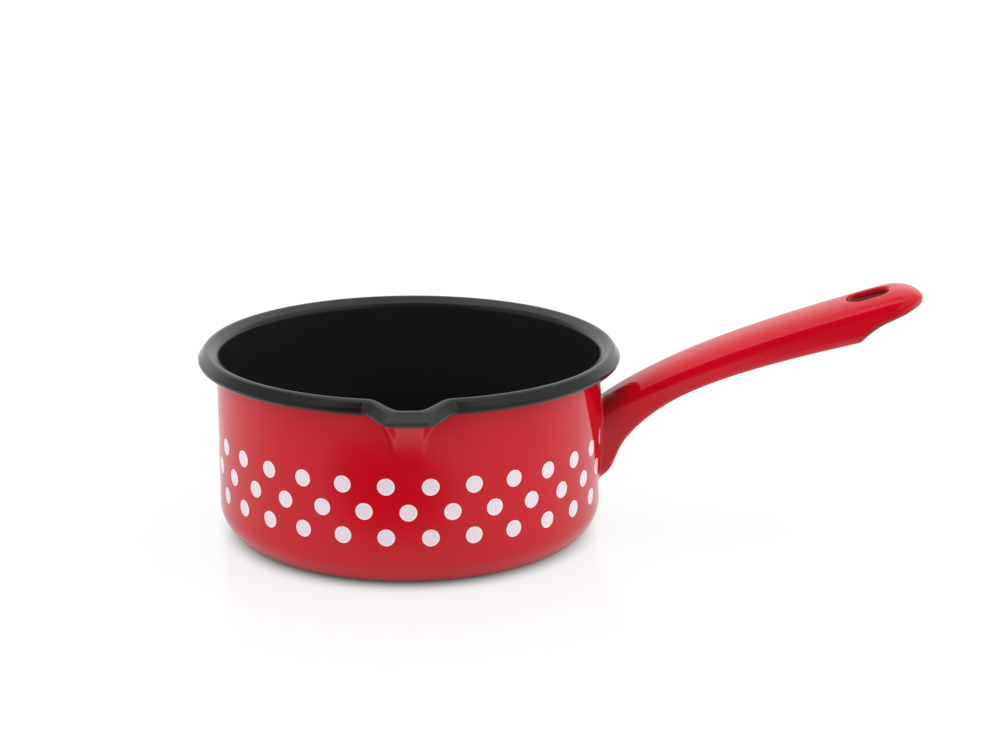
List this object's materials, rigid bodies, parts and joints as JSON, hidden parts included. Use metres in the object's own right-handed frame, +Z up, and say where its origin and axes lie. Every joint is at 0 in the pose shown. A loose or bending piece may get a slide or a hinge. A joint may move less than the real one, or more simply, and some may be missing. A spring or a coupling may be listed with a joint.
{
  "type": "enamelled saucepan",
  "caption": "Enamelled steel milk pan with a straight wall, a rolled rim, a pressed pouring spout and a long upswept side handle with a hanging slot.",
  "frame": {"origin": "centre of the pot's base, on the pot's axis, at the surface that the pan stands on", "axes": "+X along the handle away from the pot, -Y towards the pouring spout, +Z up along the pot's axis"},
  "size_m": [0.3052, 0.1873, 0.1041],
  "materials": {
    "sheet_steel": "bare cold-rolled sheet, covered by enamel",
    "base_coat": "black ground enamel, satin",
    "red_coat": "red enamel, high gloss",
    "black_coat": "black enamel, smooth satin gloss",
    "rim_coat": "black enamel, gloss",
    "handle_coat": "red enamel on pressed steel, high gloss",
    "dot_transfer": "fired-on pale transfer dots"
  },
  "bodies": {
    "root": {"steel_body": "sheet_steel", "base_enamel": "base_coat", "exterior_enamel": "red_coat", "interior_enamel": "black_coat", "rim_enamel": "rim_coat", "handle_shell": "handle_coat", "root_weld": "handle_coat"}
  },
  "joints": []
}
